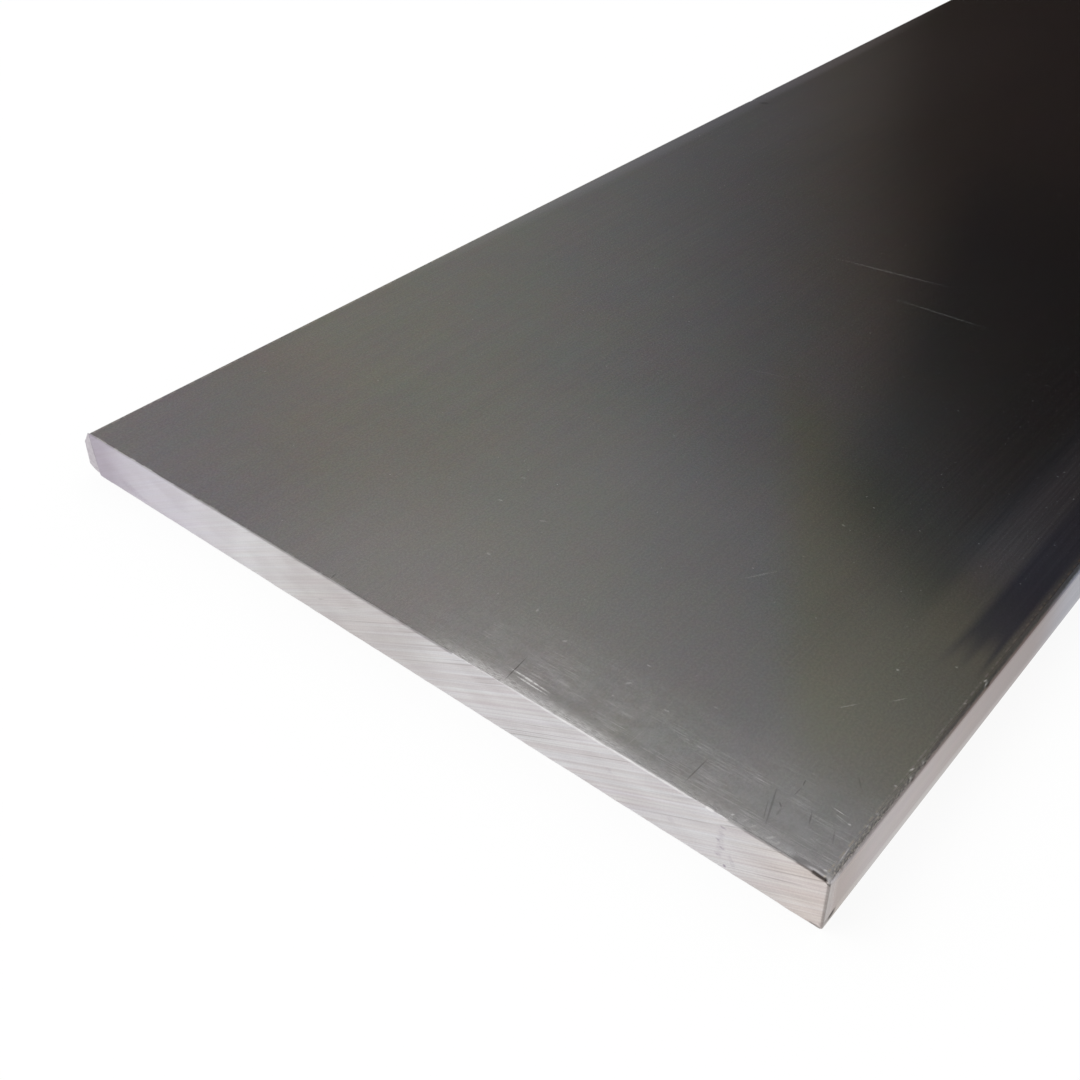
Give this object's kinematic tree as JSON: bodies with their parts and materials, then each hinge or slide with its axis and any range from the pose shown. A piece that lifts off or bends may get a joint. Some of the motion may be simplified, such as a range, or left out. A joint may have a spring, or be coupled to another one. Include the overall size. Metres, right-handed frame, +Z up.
{
  "type": "metal flat bar",
  "caption": "Plain flat bar of bright mill-finish aluminium: long, wide and thin, with square sawn ends and slightly rounded long edges, lying flat.",
  "frame": {"origin": "middle of the underside of the bar, on the floor it lies on", "axes": "+Y along the length, away from the end with the knocked corners; +X across the width, to the right as seen from that end; +Z up through the thickness"},
  "size_m": [0.1524, 0.6096, 0.0095],
  "materials": {
    "mill_aluminium": "satin mill finish on the rolled faces, fine straight saw marks on the ends"
  },
  "bodies": {
    "root": {"flat_bar": "mill_aluminium"}
  },
  "joints": []
}
